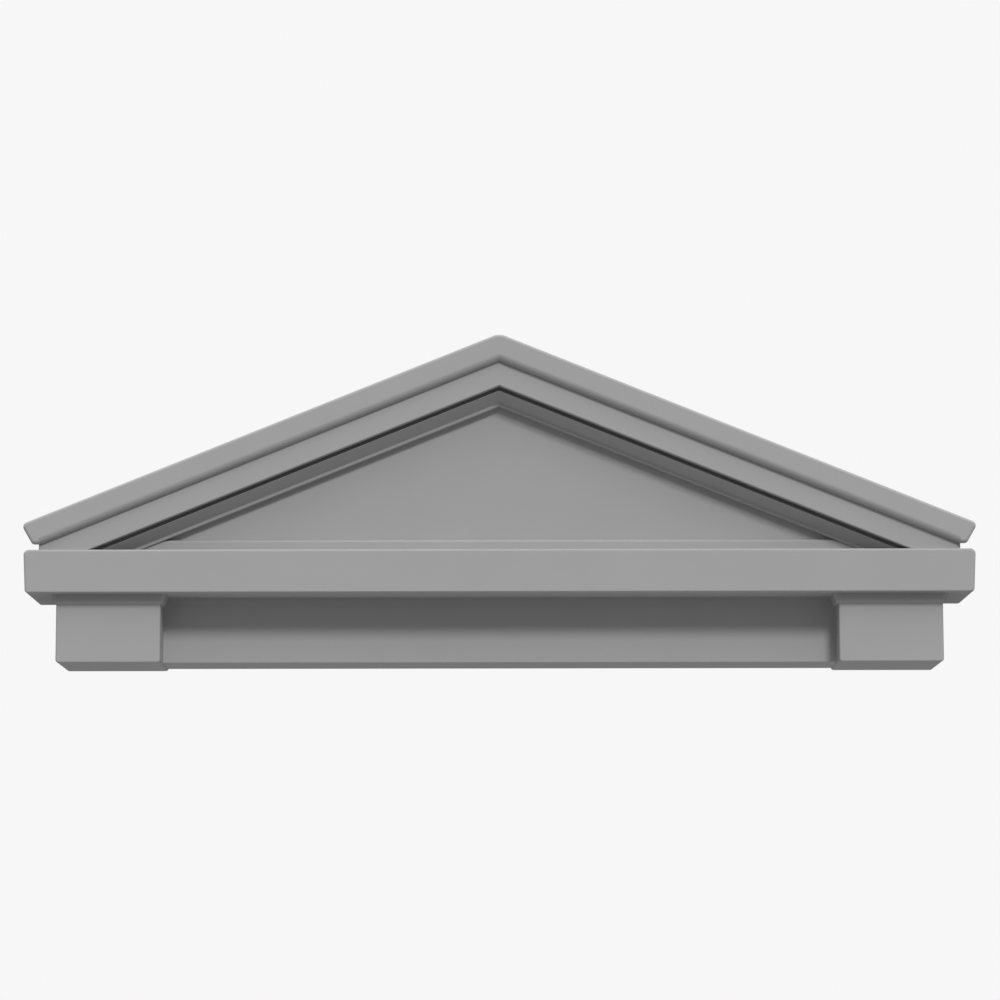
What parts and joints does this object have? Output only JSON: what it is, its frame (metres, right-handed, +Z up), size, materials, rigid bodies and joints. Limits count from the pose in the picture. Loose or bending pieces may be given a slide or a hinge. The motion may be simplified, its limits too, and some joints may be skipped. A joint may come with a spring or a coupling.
{
  "type": "exterior pediment",
  "caption": "Moulded triangular pediment for an outside door head: a stepped peaked cap on a flat cornice, with a recessed frieze between end blocks.",
  "frame": {"origin": "under the middle of the part, half way between its front and the wall, at the level of the end blocks' feet", "axes": "+X along the door head to the right as seen from the front, +Y from the front towards the wall, +Z up"},
  "size_m": [1.4474, 0.175, 0.5004],
  "materials": {
    "grey_paint": "satin mid-grey paint over a smooth moulded foam skin"
  },
  "bodies": {
    "root": {"header": "grey_paint", "peaked_cap": "grey_paint"}
  },
  "joints": []
}
